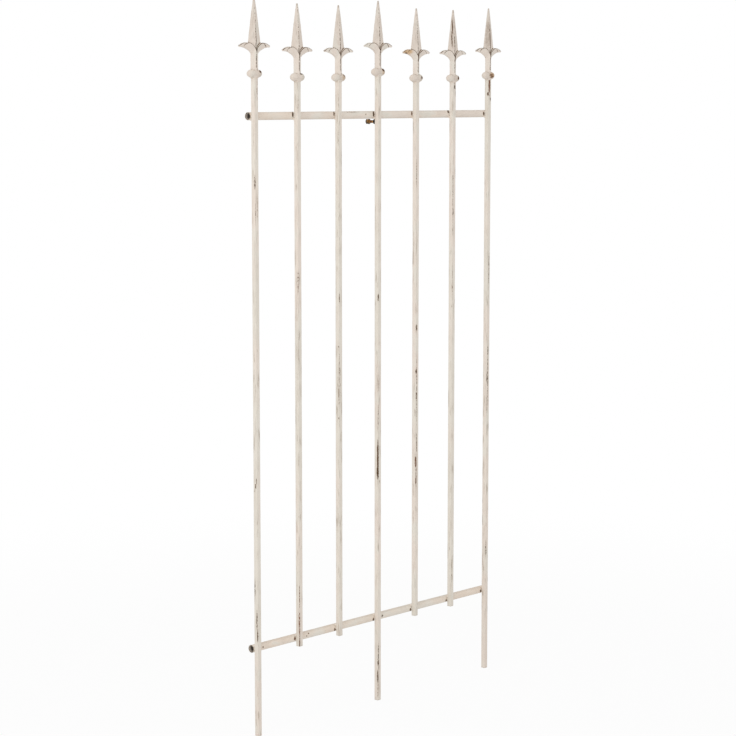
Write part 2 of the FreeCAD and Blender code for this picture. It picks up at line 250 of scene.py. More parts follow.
class TrellisShape(bpy.types.PropertyGroup):
    """Sizes of what is modelled over the bare pieces."""

    corner_round: length("Bar corners", "Rounding of the bars' corners", 0.0007)
    bar_step: length("Bar step", "Distance from ring to ring of a bar's mesh", 0.004)
    bar_dents: length("Bar dents", "How far a bar's faces stray from flat", 0.0001)
    nick_depth: length("Nicks", "Depth of a bar's nicks, where its paint is gone", 0.0005)
    casting_grid: length("Casting grid", "Mesh size of the cast finials", 0.0007)
    casting_rounds: IntProperty(name="Casting softness", description="Times a finial's edges are smoothed",
                                default=2)
    lump_size: length("Lump size", "Width of the uneven spots of a casting", 0.008)
    lump_height: length("Lump height", "Height of the uneven spots of a casting", 0.0005)
    grain_size: length("Sand grain", "Width of the sand marks of a casting", 0.003)
    grain_height: length("Grain height", "Height of the sand marks of a casting", 0.00012)
    rim_round: length("Rail rims", "Rounding of the rails' cut ends", 0.0005)
    rail_dents: length("Rail dents", "How far a rail strays from a true tube", 0.00012)
    bead_length: length("Weld length", "Length of a weld between bar and rail", 0.0134)
    bead_ripple: length("Weld ripple", "Distance from ripple to ripple of a weld", 0.0017)
    thread_pitch: length("Thread pitch", "From thread to thread on the bolt", 0.001)
    thread_depth: length("Thread depth", "Depth of the bolt's thread", 0.0006)


class TrellisPaint(bpy.types.PropertyGroup):
    """Colours of the worn paint and of the bare iron."""

    cream: pigment("Cream", "Sound coat of cream paint", (0.82, 0.765, 0.68))
    rosy: pigment("Rosy cream", "Paint where it has yellowed towards pink", (0.85, 0.753, 0.667))
    sage: pigment("Sage cream", "Paint where it has greyed towards green", (0.812, 0.753, 0.664))
    blush: pigment("Blush", "Warmer paint of the rails and welds", (0.86, 0.745, 0.635))
    wash: pigment("Antique wash", "Brown glaze rubbed over the paint", (0.33, 0.26, 0.19))
    iron: pigment("Bare iron", "Dark iron where the paint is gone", (0.08, 0.054, 0.027))
    rust: pigment("Rust", "Red rust on the bare iron", (0.22, 0.075, 0.028))
    gold: pigment("Golden rust", "Light rust on the bolt and on some finials", (0.6, 0.34, 0.11))
    olive: pigment("Olive scale", "Greenish brown scale on the clamp nut", (0.15, 0.1, 0.042))
    # Near-black: the bolt's blackened end, and painted shade in the rails' bores and on the jam nut
    soot_and_shade: pigment("Soot", "Black of the rails' bores, jam nut and bolt's end", (0.016, 0.012, 0.011))


class TrellisStage(bpy.types.PropertyGroup):
    """Light, floor and camera."""

    sky: FloatProperty(name="Sky", description="Strength of the even light from all round", default=0.8)
    key: FloatProperty(name="Key lamp", description="Power of the large soft lamp on the left",
                       default=32.0, unit="POWER")
    key_size: length("Lamp size", "Side of the soft lamp", 2.4)
    key_place: FloatVectorProperty(name="Lamp place", description="Place of the soft lamp",
                                   default=(-3.5, -1.3, 2.6), subtype="TRANSLATION", unit="LENGTH")
    floor_size: length("Floor", "Half the side of the floor", 30.0)
    floor: pigment("Floor colour", "Pale colour of the floor", (0.9, 0.9, 0.9))
    shadow: FloatProperty(name="Shadow", description="Share of the shade that shows on the near floor",
                          default=0.1)
    shadow_near: length("Shadow reach", "How far the floor shows its shadow", 0.7)
    shadow_far: length("White from", "Distance from which the floor is plain white", 2.4)
    camera_place: FloatVectorProperty(name="Camera place", description="Place of the camera",
                                      default=(-3.5014, -3.1375, 1.3154), subtype="TRANSLATION",
                                      unit="LENGTH")
    camera_turn: FloatProperty(name="Camera turn", description="Its turn to the right of straight on",
                               default=math.radians(47.881), unit="ROTATION")
    camera_dip: FloatProperty(name="Camera dip", description="Tilt of the camera below the horizon",
                              default=math.radians(7.109), unit="ROTATION")
    camera_lens: FloatProperty(name="Lens", description="Focal length on a 36 mm sensor", default=108.26)


class Wire:
    """An output socket of a finish. Sums, differences and products of wires add Math nodes."""

    def __init__(self, finish, socket):
        self.finish = finish
        self.socket = socket

    def math(self, operation, *values):
        return self.finish.node("ShaderNodeMath", {"operation": operation}, dict(enumerate(values)))

    def __add__(self, other):
        return self.math("ADD", self, other)

    def __radd__(self, other):
        return self.math("ADD", other, self)

    def __sub__(self, other):
        return self.math("SUBTRACT", self, other)

    def __rsub__(self, other):
        return self.math("SUBTRACT", other, self)

    def __mul__(self, other):
        return self.math("MULTIPLY", self, other)

    def __rmul__(self, other):
        return self.math("MULTIPLY", other, self)

    def __abs__(self):
        return self.math("ABSOLUTE", self)

    def smaller(self, other):
        return self.math("MINIMUM", self, other)

    def larger(self, other):
        return self.math("MAXIMUM", self, other)

    def below(self, other):
        return self.math("LESS_THAN", self, other)

    def root(self):
        return self.math("SQRT", self)

    def step(self, low, high):
        """0 up to low, 1 from high, and smooth between. With low above high it falls instead."""
        return self.finish.node("ShaderNodeMapRange", {"interpolation_type": "SMOOTHSTEP"},
                                {"Value": self, "From Min": low, "From Max": high})


class Finish:
    """The nodes of a material or of the world, written as Python expressions."""

    def __init__(self, owner):
        owner.use_nodes = True
        self.owner = owner
        self.tree = owner.node_tree
        self.tree.nodes.clear()

    def node(self, kind, settings=None, sockets=None, output=0):
        """Adds a node with its settings, then its sockets' values or links, and gives one output."""
        made = self.tree.nodes.new(kind)
        for name, value in (settings or {}).items():
            setattr(made, name, value)
        for name, value in (sockets or {}).items():
            if isinstance(value, Wire):
                self.tree.links.new(value.socket, made.inputs[name])
            else:
                made.inputs[name].default_value = value
        return Wire(self, made.outputs[output]) if made.outputs else None

    def place(self):
        """Place on the trellis in metres: across, towards the back and up."""
        return self.node("ShaderNodeTexCoord", output="Object")

    def axes(self, vector):
        """The three parts of a vector or colour."""
        split = self.node("ShaderNodeSeparateXYZ", None, {0: vector})
        return [Wire(self, socket) for socket in split.socket.node.outputs]

    def noise(self, place, size, detail=2.0, stretch=1.0):
        """Soft noise whose spots are about size metres wide, and stretch times as tall."""
        squeezed = self.node("ShaderNodeVectorMath", {"operation": "MULTIPLY"},
                             {0: place, 1: (1.0, 1.0, 1.0 / stretch)})
        return self.node("ShaderNodeTexNoise", None,
                         {"Vector": squeezed, "Scale": 1.0 / size, "Detail": detail})

    def mix(self, share, first, second):
        """Colour that goes from first to second."""
        ends = [colour if isinstance(colour, Wire) else (*colour, 1.0) for colour in (first, second)]
        return self.node("ShaderNodeMix", {"data_type": "RGBA"},
                         {0: share, 6: ends[0], 7: ends[1]}, output=2)

    def output(self, shader, kind="ShaderNodeOutputMaterial"):
        self.node(kind, None, {"Surface": shader})
        return self.owner


def new_finish(name):
    return Finish(bpy.data.materials.new(name))


def seen_directly(finish):
    """1 for what the camera sees, also mirrored or through glass, and 0 for light on its way to things."""
    path = finish.node("ShaderNodeLightPath").socket.node.outputs
    camera, glossy, through = [Wire(finish, path[name]) for name in
                               ("Is Camera Ray", "Is Glossy Ray", "Is Transmission Ray")]
    return (camera + glossy + through).smaller(1.0)


def cream_coat(finish, place, tones, paint, wear, dirt, red, gilt=None, soot_and_shade=None):
    """Antique cream paint on iron. Wear bares the iron, dirt browns the paint and red rusts what is bare;
    callers also put painted shade into wear and dirt. Gilt is where the rust is light and golden, and
    soot_and_shade where the colour goes near-black, partly as bare iron and partly as painted shade."""
    drift = finish.noise(place, 0.07, stretch=3.5)
    patch = finish.noise(place, 0.021, detail=3.0, stretch=2.0)
    brush = finish.noise(place, 0.0011, stretch=14.0)
    ragged = finish.noise(place, 0.0018, detail=4.0, stretch=2.0)
    pits = finish.noise(place, 0.0009)

    sound, warm, grey = tones
    tint = finish.mix(drift.step(0.4, 0.6), warm, grey)
    colour = finish.mix(patch.step(0.46, 0.7), tint, sound)
    glaze = patch.step(0.55, 0.38) * 0.06 + brush.step(0.5, 0.8) * 0.12
    colour = finish.mix(glaze, colour, paint.wash)
    colour = finish.mix((dirt * (0.35 + ragged)).smaller(1.0), colour, paint.wash)
    if gilt:
        colour = finish.mix((gilt * (0.2 + ragged)).smaller(0.85), colour, paint.gold)

    worn = wear * (0.3 + ragged * 1.4)
    stain = worn.step(0.25, 0.7) * 0.6
    bare = worn.step(0.62, 0.8)
    colour = finish.mix(stain, colour, finish.mix(red, paint.wash, paint.rust))
    iron = finish.mix((red * 0.7 + pits.step(0.5, 0.75) * 0.35).smaller(1.0), paint.iron, paint.rust)
    colour = finish.mix(bare, colour, iron)
    # Near-black of a rail's bore: bare iron at the mouth, and painted shade deeper in
    if soot_and_shade:
        colour = finish.mix(soot_and_shade, colour, paint.soot_and_shade)

    rough = 0.52 + brush * 0.16 + bare * 0.2
    height = brush * 0.22 + pits * 0.12 + (1.0 - bare) * 0.5
    relief = finish.node("ShaderNodeBump", None, {"Strength": 0.7, "Distance": 0.00025, "Height": height})
    shader = finish.node("ShaderNodeBsdfPrincipled", None,
                         {"Base Color": colour, "Roughness": rough, "Specular IOR Level": 0.35,
                          "Normal": relief})
    return finish.output(shader)


def chipped(finish, place, across, up, chips):
    """How bare and how red the iron is in a surface's ragged chips, for places across and up it. On the
    rails some of these marks are painted shade in the crevices beside the bars.
    """
    sway = finish.noise(place, 0.0016, detail=3.0) - 0.5
    swing = finish.noise(place, 0.003, detail=3.0) - 0.5
    flat = finish.node("ShaderNodeCombineXYZ", None,
                       {0: across + sway * CHIP_STRAY_ACROSS, 1: up + swing * CHIP_STRAY_UP})
    bare, rusty = 0.0, 0.0
    for height, tall, aside, wide, depth, red in chips:
        offset = finish.node("ShaderNodeVectorMath", {"operation": "MULTIPLY_ADD"},
                             {0: flat, 1: (1 / wide, 1 / tall, 0.0),
                              2: (-aside / wide, -height / tall, 0.0)})
        reach = finish.node("ShaderNodeVectorMath", {"operation": "LENGTH"}, {0: offset}, output="Value")
        chip = reach.step(CHIP_EDGE, CHIP_WHOLE)
        bare = (chip * depth).larger(bare)
        rusty = (chip * red).larger(rusty)
    return bare, rusty


def along_arch(finish, across, up, arch):
    """1 on the arc through three points and 0 away from it, between the ends of the arc."""
    first, middle, last = [complex(*point) for point in arch]
    turn = (last - first) / (middle - first)
    centre = first + (middle - first) * (turn - abs(turn) ** 2) / (2j * turn.imag)
    radius = abs(first - centre)
    aside = across - centre.real
    above = up - centre.imag
    off_line = abs((aside * aside + above * above).root() - radius)
    from_first = across.step(first.real - LEAF_LINE_END, first.real)
    to_last = across.step(last.real + LEAF_LINE_END, last.real)
    return off_line.step(LEAF_LINE_EDGE, LEAF_LINE_WHOLE) * from_first * to_last


def bar_finish(bar, paint):
    """Paint of one bar: chipped as that bar is, a little worn along its corners, with faint streaks and a
    dirtier foot."""
    finish = new_finish("cream_paint_" + bar)
    place = finish.place()
    x, y, z = finish.axes(place)
    low = BOX_OF[bar][0]
    over_front = x - low.x
    over_side = y - low.y
    far_faces = (over_front + over_side).step(2 * BAR_HALF + FAR_CORNER * 0.5,
                                              2 * BAR_HALF + FAR_CORNER * 1.5)
    chips, red = chipped(finish, place, over_front - over_side, z + far_faces * FAR_CHIPS_DROP,
                         BAR_CHIPS[bar])
    corner = abs(over_front - BAR_HALF).smaller(abs(y)).step(BAR_HALF - 0.0016, BAR_HALF - 0.0004)
    anywhere = finish.noise(place, 0.06, detail=3.0, stretch=3.0).step(0.5, 0.75)
    broken = finish.noise(place, 0.0026, detail=3.0, stretch=1.8).step(0.38, 0.58)
    wear = (chips * (0.55 + broken * 0.55)).larger(corner * anywhere * 0.55)
    smudge = finish.noise(place, 0.0045, detail=4.0, stretch=8.0).step(0.53, 0.68)
    streaky = finish.noise(place, 0.08, stretch=2.0).step(0.46, 0.58)
    foot = z.step(0.32, 0.1)
    dirt = (anywhere * 0.14 + foot * 0.07 + smudge * (0.24 + streaky * 0.42)
            + chips * 0.35).smaller(1.0)
    return cream_coat(finish, place, (paint.cream, paint.rosy, paint.sage), paint, wear, dirt, red)


def rail_finish(rail, paint):
    """Warmer paint of a rail, with painted shade in the crevices beside the bars, a few chips, worn rims,
    painted shade along its top and bottom, and a near-black bore that is painted shade deeper in.
    """
    finish = new_finish("cream_paint_" + rail)
    place = finish.place()
    x, y, z = finish.axes(place)
    low, high = BOX_OF[rail]
    rise = z - (low.z + RAIL_RADIUS)
    back = y - (low.y + RAIL_RADIUS)
    radius = (rise * rise + back * back).root()
    # The bore goes near-black: bare steel at the mouth, and painted shade growing deeper in
    bore = radius.step(RAIL_BORE + 0.0006, RAIL_BORE + 0.0002)
    rim = abs(x).step(high.x - 0.0007, high.x - 0.0003)
    deep = abs(x).step(high.x - 0.001, high.x - 0.009)
    # Painted shade in the crevice just left of each bar, laid as dark chips among a few real chips, on the
    # rail's front half only
    chips_and_crevice_shade = [(height, tall, BOX_OF[BARS[bar]][0].x + BAR_HALF + place_along, wide, depth, red)
                   for bar, height, tall, place_along, wide, depth, red in RAIL_CHIPS_AND_SHADE[rail]]
    chips, red = chipped(finish, place, x - (back + RAIL_RADIUS) * RAIL_CHIPS_AND_SHADE_LEAN, rise, chips_and_crevice_shade)
    chips = chips * back.step(0.001, -0.001)
    mottle = finish.noise(place, 0.03, detail=3.0).step(0.52, 0.75)
    specks = finish.noise(place, 0.0024).step(0.56, 0.7)
    wear = chips.larger(rim * 0.72 + mottle * specks * 0.35)
    # Darker along the tube's top and bottom: painted shade where the tube turns away from the light
    dirt = chips * 0.4 + mottle * 0.12 + abs(rise).step(0.0048, 0.0078) * 0.22
    tones = [getattr(paint, tone) for tone in RAIL_TONES[rail]]
    lying = finish.node("ShaderNodeCombineXYZ", None, {0: z, 1: y, 2: x})
    # Near-black in the bore, deeper in as painted shade
    return cream_coat(finish, lying, tones, paint, wear, dirt, red, soot_and_shade=bore * (0.45 + deep * 0.5))


def casting_finish(finial, paint):
    """Paint of a cast finial: rubbed off its ridges and its leaves' edges, with painted shade in its
    creases, along its leaves' upper edges and on its collar's far lobe, and stained on its blade and
    collar. Some finials have a golden stain."""
    finish = new_finish("cream_casting_" + finial)
    place = finish.place()
    x, y, z = finish.axes(place)
    low, high = BOX_OF[finial]
    across = x - (low.x + high.x) / 2
    up = z - low.z
    chips, red = chipped(finish, place, across, up, FINIAL_CHIPS[finial])
    front = y.step(0.002, -0.002)
    chips = chips * front
    bend = finish.node("ShaderNodeNewGeometry", output="Pointiness")
    edge = bend.step(0.505, 0.53)
    # Painted shade, with dirt, in the casting's creases, and more under its leaves
    crease = bend.step(0.494, 0.465)
    facing = finish.axes(finish.node("ShaderNodeNewGeometry", output="Normal"))
    dotted = finish.noise(place, 0.0032, detail=3.0).step(0.42, 0.6)
    ridge = abs(across).step(0.0018, 0.0006) * up.step(0.018, 0.022)
    low_ridge = up.step(0.13, 0.085)
    petals = up.step(0.046, 0.052) * up.step(0.074, 0.07)
    leaves = petals * facing[2].step(-0.15, 0.2)
    over_fork, to_tip = [along_arch(finish, abs(across), up, arch) for arch in LEAF_ARCHES]
    flat_on = abs(facing[1]).step(0.3, 0.7)
    # Painted shade: a dark line in the crease along each raised leaf's upper edge, laid into the wear
    arch_shade_lines = over_fork.larger(to_tip * 0.8) * petals * (0.3 + flat_on * 0.7)
    drift = finish.noise(place, 0.035).step(0.35, 0.65)
    specks = finish.noise(place, 0.0016).step(0.58, 0.68)
    rubbed = ((edge * (0.12 + drift * 0.3)).larger(arch_shade_lines * (0.72 + drift * 0.5))
              + edge * leaves * (0.45 + drift * 0.35)
              + ridge * (low_ridge * 0.45 + dotted * 0.5) + specks * 0.16)
    collar = up.step(0.018, 0.0165)
    # The collar's right lobe, turned away from the light, darkened as painted shade
    far_lobe_shade = collar * across.step(0.004, 0.010)
    blade = up.step(0.07, 0.078)
    beside_ridge = abs(across + 0.0042).step(0.0046, 0.0010)
    streaks = finish.noise(place, 0.0024, detail=3.0, stretch=5.0).step(0.42, 0.66)
    stained = blade * (0.08 + streaks * (0.1 + beside_ridge * 0.2)) + up.step(0.148, 0.156) * 0.3
    dirt = (crease * (0.8 + leaves * 0.5) + specks * 0.1 + collar * 0.14 + far_lobe_shade * 0.16 + stained
            + chips * 0.3).smaller(1.0)
    gilt = None
    if finial in GILDED:
        gilt = chipped(finish, place, across, up, [(*GILDED[finial], 1.0)])[0] * front
    wear = chips.larger(rubbed.smaller(1.3))
    tones = (paint.cream, paint.rosy, paint.rosy)
    return cream_coat(finish, place, tones, paint, wear, dirt, red.larger(drift * 0.3), gilt=gilt)


def weld_finish(name, paint):
    """Paint over a weld, rusting in its hollows."""
    finish = new_finish(name)
    place = finish.place()
    crease = finish.node("ShaderNodeNewGeometry", output="Pointiness").step(0.5, 0.45)
    patch = finish.noise(place, 0.004, detail=3.0).step(0.45, 0.7)
    wear = patch * 0.3 + crease * 0.25
    dirt = (crease * 0.6 + patch * 0.25).smaller(1.0)
    tones = (paint.cream, paint.blush, paint.rosy)
    return cream_coat(finish, place, tones, paint, wear, dirt, patch * 0.6)


def steel_finish(name, paint, scale, scaled, painted_front=None):
    """Bare steel of the bolt and nuts: golden and red rust, covered in part by scale of one colour, more so
    below the bolt's axis as painted shade; on the jam nut that scale is near-black painted shadow. It
    blackens towards the back end of the bolt, and in front of painted_front it has the bars' paint."""
    finish = new_finish(name)
    place = finish.place()
    blotch = finish.noise(place, 0.005, detail=3.0)
    grain = finish.noise(place, 0.0007, detail=3.0)
    colour = finish.mix(blotch.step(0.45, 0.65), paint.gold, paint.rust)
    y, z = finish.axes(place)[1:]
    # Painted shade: more scale below the bolt's axis, so it is darker than the top
    shaded_underside = z.step(BOLT_AXIS.z + 0.001, BOLT_AXIS.z - 0.002)
    covered = (blotch * 0.5 + grain * 0.5 + shaded_underside * 0.12 + scaled).step(0.5, 0.62)
    colour = finish.mix(covered, colour, scale)
    end = BOX_OF["stay_bolt"][1].y
    blackened = y.step(end - 0.0054, end - 0.003) * 0.93
    colour = finish.mix(blackened, colour, paint.soot_and_shade)
    metal = 0.15 - covered * 0.12
    if painted_front is not None:
        painted = y.below(painted_front)
        colour = finish.mix(painted, colour, finish.mix(grain.step(0.5, 0.8), paint.cream, paint.wash))
        metal = metal * (1.0 - painted)
    relief = finish.node("ShaderNodeBump", None, {"Strength": 0.6, "Distance": 0.0002, "Height": grain})
    shader = finish.node("ShaderNodeBsdfPrincipled", None,
                         {"Base Color": colour, "Roughness": 0.55 + grain * 0.35, "Metallic": metal,
                          "Specular IOR Level": 0.25, "Normal": relief})
    return finish.output(shader)


def add_loft(made, rings, wrap=False):
    """Skin through rings of as many points. It closes on its first ring, or is capped at both ends."""
    loops = [[made.verts.new(point) for point in ring] for ring in rings]
    pairs = list(zip(loops, loops[1:]))
    if wrap:
        pairs.append((loops[-1], loops[0]))
    for first, second in pairs:
        for side in range(len(first)):
            made.faces.new((first[side - 1], first[side], second[side], second[side - 1]))
    if not wrap:
        made.faces.new(loops[0])
        made.faces.new(loops[-1])


def add_piece(made, name, body, slot, material, *nodes, sharp=40.0):
    """Turns a skin into a piece that stands for CAD nodes and rides on their body."""
    bmesh.ops.recalc_face_normals(made, faces=made.faces)
    mesh = bpy.data.meshes.new(name)
    made.to_mesh(mesh)
    made.free()
    mesh.shade_smooth()
    mesh.set_sharp_from_angle(angle=math.radians(sharp))
    mesh.materials.append(material)
    piece = bpy.data.objects.new(name, mesh)
    bpy.context.scene.collection.objects.link(piece)
    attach(piece, body)
    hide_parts(*nodes)


def dress(node, material):
    """Gives a CAD node its finish."""
    materials = frame["nodes"][node].data.materials
    materials.clear()
    materials.append(material)


def even_turns(count):
    """Angles of even steps round a circle."""
    return [2 * math.pi * step / count for step in range(count)]


def turned(axis, radius, count):
    """Points round a line along Y through a point on its axis."""
    return [axis + Vector((math.cos(turn), 0, math.sin(turn))) * radius for turn in even_turns(count)]


class DrawBars(bpy.types.Operator):
    """Models the bars with eased corners, slight dents and nicks where they are chipped, and paints them"""

    bl_idname = "trellis.draw_bars"
    bl_label = "Bars"

    seat_lap = 0.001
    dents_per_metre = 60
    ragged_per_metre = 700

    def execute(self, context):
        shape = context.scene.trellis_shape
        for bar, finial in zip(BARS, FINIALS):
            low = BOX_OF[bar][0]
            foot = low.z + shape.corner_round
            top = BOX_OF[finial][0].z + self.seat_lap
            steps = round((top - foot) / shape.bar_step)
            outline = self.outline(shape.corner_round / BAR_HALF)
            eased = [point * (1 - shape.corner_round / BAR_HALF) for point in outline]
            rings = [self.ring(bar, eased, low.z, shape)]
            for step in range(steps + 1):
                rings.append(self.ring(bar, outline, foot + (top - foot) * step / steps, shape))
            made = bmesh.new()
            add_loft(made, rings)
            coat = bar_finish(bar, context.scene.trellis_paint)
            add_piece(made, bar + "_painted", "frame", "cream_paint", coat, bar, sharp=50.0)
        return {"FINISHED"}

    def outline(self, ease):
        """A square with eased corners, from -1 to 1 each way."""
        inset = 1 - 2.2 * ease
        flat = (ease - 1, -inset, -0.45, 0, 0.45, inset, 1 - ease)
        tip = 1 - ease * (1 - math.sqrt(0.5))
        side = [Vector((1, place)) for place in flat] + [Vector((tip, tip))]
        return [Matrix.Rotation(math.pi / 2 * turn, 2) @ point for turn in range(4) for point in side]

    def ring(self, bar, outline, height, shape):
        middle = Vector((BOX_OF[bar][0].x + BAR_HALF, 0, height))
        points = []
        for place in outline:
            way = Vector((place.x, place.y, 0)) * BAR_HALF
            at = middle + way
            dent = shape.bar_dents * noise.noise(at * self.dents_per_metre)
            ragged = 0.6 + noise.noise(at * self.ragged_per_metre)
            nick = shape.nick_depth * self.nicked(bar, way, height) * ragged
            points.append(at + way.normalized() * (dent - nick))
        return points

    def nicked(self, bar, way, height):
        """How deep the chips of a bar go at a place on it, from 0 to 1."""
        over_front = way.x + BAR_HALF
        over_side = way.y + BAR_HALF
        if over_front + over_side > 2 * BAR_HALF + FAR_CORNER:
            height += FAR_CHIPS_DROP
        depths = [0.0]
        for chip_height, tall, aside, wide, depth, _red in BAR_CHIPS[bar]:
            reach = math.hypot((over_front - over_side - aside) / wide, (height - chip_height) / tall)
            depths.append(depth * (NICK_EDGE - reach))
        return min(max(depths), 1.0)


class CastFinials(bpy.types.Operator):
    """Softens the finials into sand castings with lumps and grain, and paints them"""

    bl_idname = "trellis.cast_finials"
    bl_label = "Finials"

    def execute(self, context):
        shape = context.scene.trellis_shape
        textures = {}
        for name, size in (("casting_lumps", shape.lump_size), ("casting_grain", shape.grain_size)):
            textures[name] = bpy.data.textures.new(name, "CLOUDS")
            textures[name].noise_scale = size
            textures[name].noise_depth = 1
        heights = {"casting_lumps": shape.lump_height, "casting_grain": shape.grain_height}
        for finial in FINIALS:
            node = frame["nodes"][finial]
            cast = node.modifiers.new("one_casting", "REMESH")
            cast.mode = "VOXEL"
            cast.voxel_size = shape.casting_grid
            cast.use_smooth_shade = True
            soft = node.modifiers.new("soft_edges", "SMOOTH")
            soft.factor = 0.5
            soft.iterations = shape.casting_rounds
            for name, texture in textures.items():
                uneven = node.modifiers.new(name, "DISPLACE")
                uneven.texture = texture
                uneven.texture_coords = "LOCAL"
                uneven.mid_level = 0.5
                uneven.strength = heights[name]
            dress(finial, casting_finish(finial, context.scene.trellis_paint))
        return {"FINISHED"}


class DrawRails(bpy.types.Operator):
    """Models the two tube rails with rounded rims and slight dents, and paints them"""

    bl_idname = "trellis.draw_rails"
    bl_label = "Rails"

    sides = 48
    stations = 75
    dents_per_metre = 45

    def execute(self, context):
        shape = context.scene.trellis_shape
        for rail in RAILS:
            low, high = BOX_OF[rail]
            middle = (low + high) / 2
            half = (high.x - low.x) / 2
            rim = shape.rim_round
            round_off = rim * (1 - math.sqrt(0.5))
            outside = [(-half, RAIL_RADIUS - rim), (round_off - half, RAIL_RADIUS - round_off),
                       (rim - half, RAIL_RADIUS)]
            run = half - rim
            shares = [2 * step / self.stations - 1 for step in range(1, self.stations)]
            outside += [(run * share, RAIL_RADIUS) for share in shares]
            outside += [(-place, radius) for place, radius in outside[2::-1]]
            inside = [(half, RAIL_BORE + rim), (half - rim, RAIL_BORE), (rim - half, RAIL_BORE),
                      (-half, RAIL_BORE + rim)]
            rings = [self.ring(middle, place, radius, shape.rail_dents)
                     for place, radius in outside + inside]
            made = bmesh.new()
            add_loft(made, rings, wrap=True)
            coat = rail_finish(rail, context.scene.trellis_paint)
            add_piece(made, rail + "_tube", "frame", "cream_paint", coat, rail, sharp=50.0)
        return {"FINISHED"}

    def ring(self, middle, place, radius, dents):
        points = []
        for turn in even_turns(self.sides):
            way = Vector((0, math.cos(turn), math.sin(turn)))
            at = middle + Vector((place, 0, 0)) + way * radius
            points.append(at + way * dents * noise.noise(at * self.dents_per_metre))
        return points


class LayRailWelds(bpy.types.Operator):
    """Lays rippled weld beads in the grooves between the bars and the rails"""

    bl_idname = "trellis.lay_rail_welds"
    bl_label = "Rail welds"

    # Depth, rise, seat in the rail and lean are in metres, and the other heights are shares of the bead
    sides = 16
    stations = 40
    depth = 0.0031
    rise = 0.0026
    in_rail = 0.0017
    lean = 0.0008
    behind_bar = 0.75
    ripple_height = 0.09
    lump_height = 0.16
    lumps_per_metre = 420

    def execute(self, context):
        shape = context.scene.trellis_shape
        for rail, side in RAILS.items():
            made = bmesh.new()
            low, high = BOX_OF[rail]
            groove = Vector((0, BAR_HALF + self.depth * self.behind_bar,
                             (low.z + high.z) / 2 + side * (RAIL_RADIUS - self.in_rail)))
            for bar in BARS:
                middle = groove + Vector((BOX_OF[bar][0].x + BAR_HALF, 0, 0))
                add_loft(made, [self.ring(middle, step, shape) for step in range(self.stations + 1)])
            welds = rail + "_welds"
            add_piece(made, welds + "_beads", "frame", "cream_paint",
                      weld_finish("cream_" + welds, context.scene.trellis_paint), welds)
        return {"FINISHED"}

    def ring(self, middle, step, shape):
        share = 2 * step / self.stations - 1
        place = share * shape.bead_length / 2
        swell = math.sqrt(max(1 - abs(share) ** 3, 0.02))
        ripple = 1 + self.ripple_height * abs(math.sin(math.pi * place / shape.bead_ripple))
        points = []
        for turn in even_turns(self.sides):
            lean = self.lean * math.sin(turn) ** 2
            way = Vector((0, self.depth * math.cos(turn), self.rise * math.sin(turn))) * swell * ripple
            at = middle + Vector((place + lean, 0, 0)) + way
            points.append(at + way * self.lump_height * noise.noise(at * self.lumps_per_metre))
        return points


class LayFinialWelds(bpy.types.Operator):
    """Lays a small weld bead round each bar, under its finial"""

    bl_idname = "trellis.lay_finial_welds"
    bl_label = "Finial welds"

    # The bead's half thickness is in metres, and the heights are shares of it
    sides = 10
    stations = 88
    bead = 0.0011
    below_seat = 0.4
    squareness = 6
    ripple_height = 0.12
    lump_height = 0.25
    lumps_per_metre = 500

    def execute(self, context):
        made = bmesh.new()
        shape = context.scene.trellis_shape
        for finial in FINIALS:
            low, high = BOX_OF[finial]
            middle = Vector(((low.x + high.x) / 2, 0, low.z - self.bead * self.below_seat))
            add_loft(made, [self.ring(middle, step, shape) for step in range(self.stations)], wrap=True)
        add_piece(made, "finial_welds_beads", "frame", "cream_paint",
                  weld_finish("cream_finial_welds", context.scene.trellis_paint), "finial_welds")
        return {"FINISHED"}

    def ring(self, middle, step, shape):
        turn = 2 * math.pi * step / self.stations
        out = Vector((math.cos(turn), math.sin(turn), 0))
        power = self.squareness
        square = 1 / (abs(out.x) ** power + abs(out.y) ** power) ** (1 / power)
        axis = middle + out * (BAR_HALF * square)
        ripple = 1 + self.ripple_height * abs(math.sin(math.pi * turn * BAR_HALF / shape.bead_ripple))
        points = []
        for around in even_turns(self.sides):
            way = (out * math.cos(around) + Vector((0, 0, math.sin(around)))) * self.bead * ripple
            lump = self.lump_height * noise.noise((axis + way) * self.lumps_per_metre)
            points.append(axis + way * (1 + lump))
        return points


